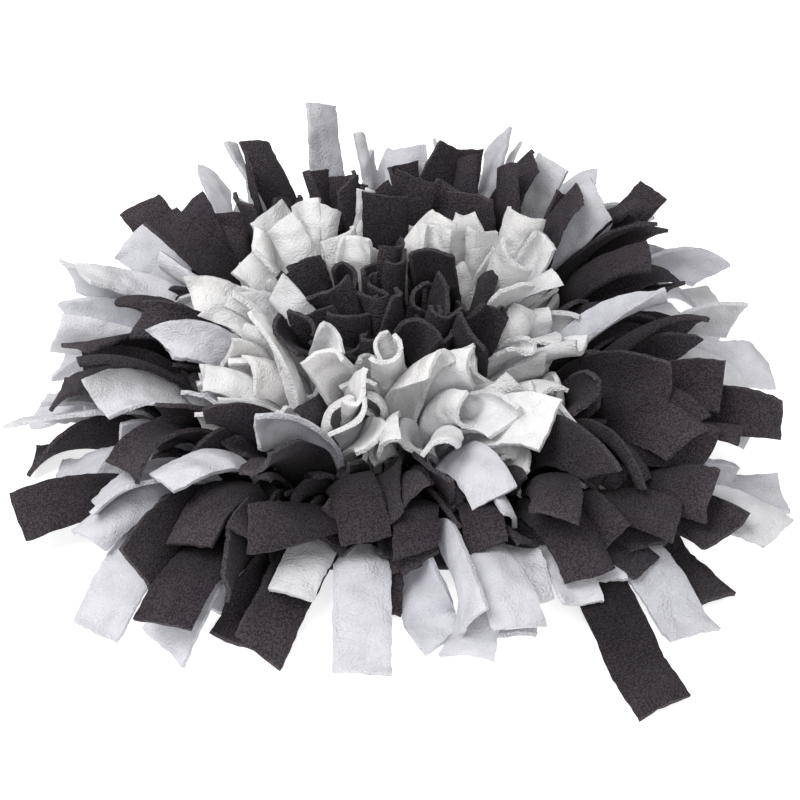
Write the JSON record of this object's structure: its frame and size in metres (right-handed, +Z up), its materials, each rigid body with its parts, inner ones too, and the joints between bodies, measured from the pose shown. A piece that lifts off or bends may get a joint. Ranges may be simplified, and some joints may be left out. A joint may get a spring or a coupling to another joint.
{
  "type": "snuffle mat",
  "caption": "Rounded square pet foraging mat: a dense low dome of curled fleece strips in charcoal and white rings, knotted to a flat base that rests on the floor",
  "frame": {"origin": "centre of the underside of the flat base, on the floor", "axes": "+Z up out of the strips; the front, where the strips hang over, towards -Y; +X to the right seen from the front"},
  "size_m": [0.4326, 0.443, 0.1144],
  "materials": {
    "base": "matte felt",
    "white_fleece": "soft matte fleece",
    "charcoal_fleece": "soft matte fleece with a pebbled nap"
  },
  "bodies": {
    "root": {"base_mat": "base", "rim_strips": "white_fleece", "dark_strips": "charcoal_fleece", "light_strips": "white_fleece", "centre_strips": "charcoal_fleece"}
  },
  "joints": []
}
